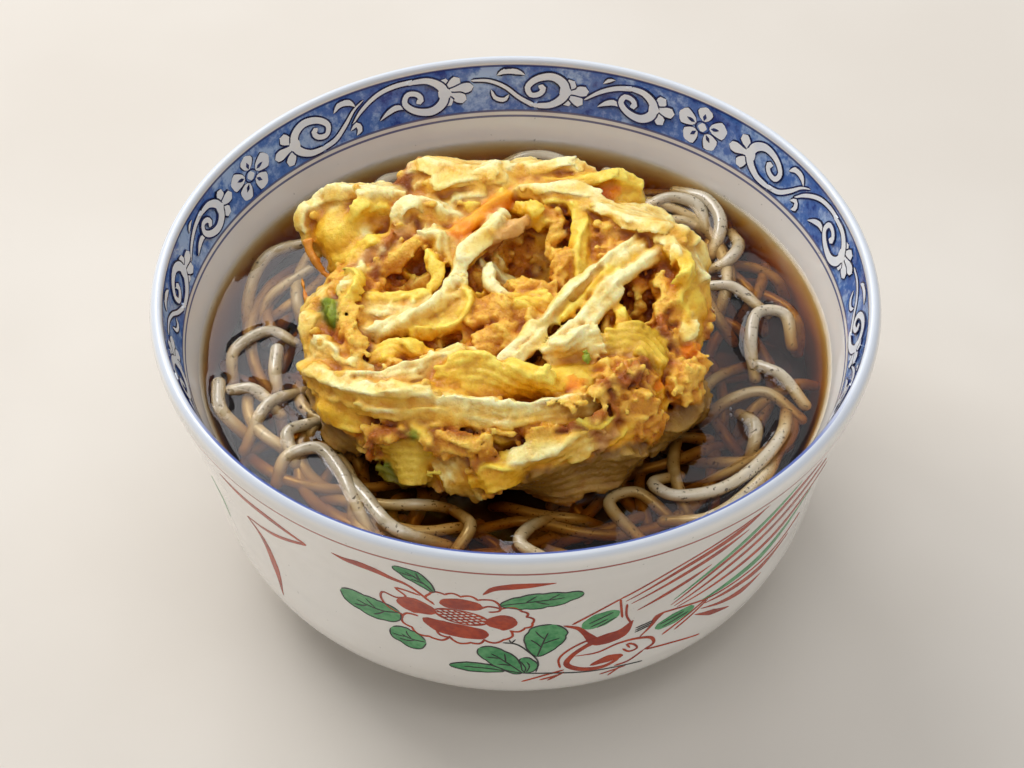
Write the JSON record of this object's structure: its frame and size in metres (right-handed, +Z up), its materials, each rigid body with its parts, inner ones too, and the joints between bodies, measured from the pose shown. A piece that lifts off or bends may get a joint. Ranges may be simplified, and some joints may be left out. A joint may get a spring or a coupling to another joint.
{
  "type": "bowl of tempura soba",
  "caption": "Porcelain bowl of hot soba in dark broth, topped with a round kakiage, a fritter of shredded vegetables; it stands on its foot ring.",
  "frame": {"origin": "centre of the underside of the foot ring, on the table", "axes": "+Z up along the bowl's axis; -Y is the side with the painted peony and bird, towards the viewer"},
  "size_m": [0.168, 0.168, 0.0857],
  "materials": {
    "porcelain": "glossy glaze over painted ornament",
    "broth": "clear dark liquid",
    "soba": "wet, smooth, with dark specks",
    "fried_batter": "crisp, slightly oily"
  },
  "bodies": {
    "root": {"bowl": "porcelain", "broth": "broth", "noodles": "soba", "kakiage": "fried_batter"}
  },
  "joints": []
}
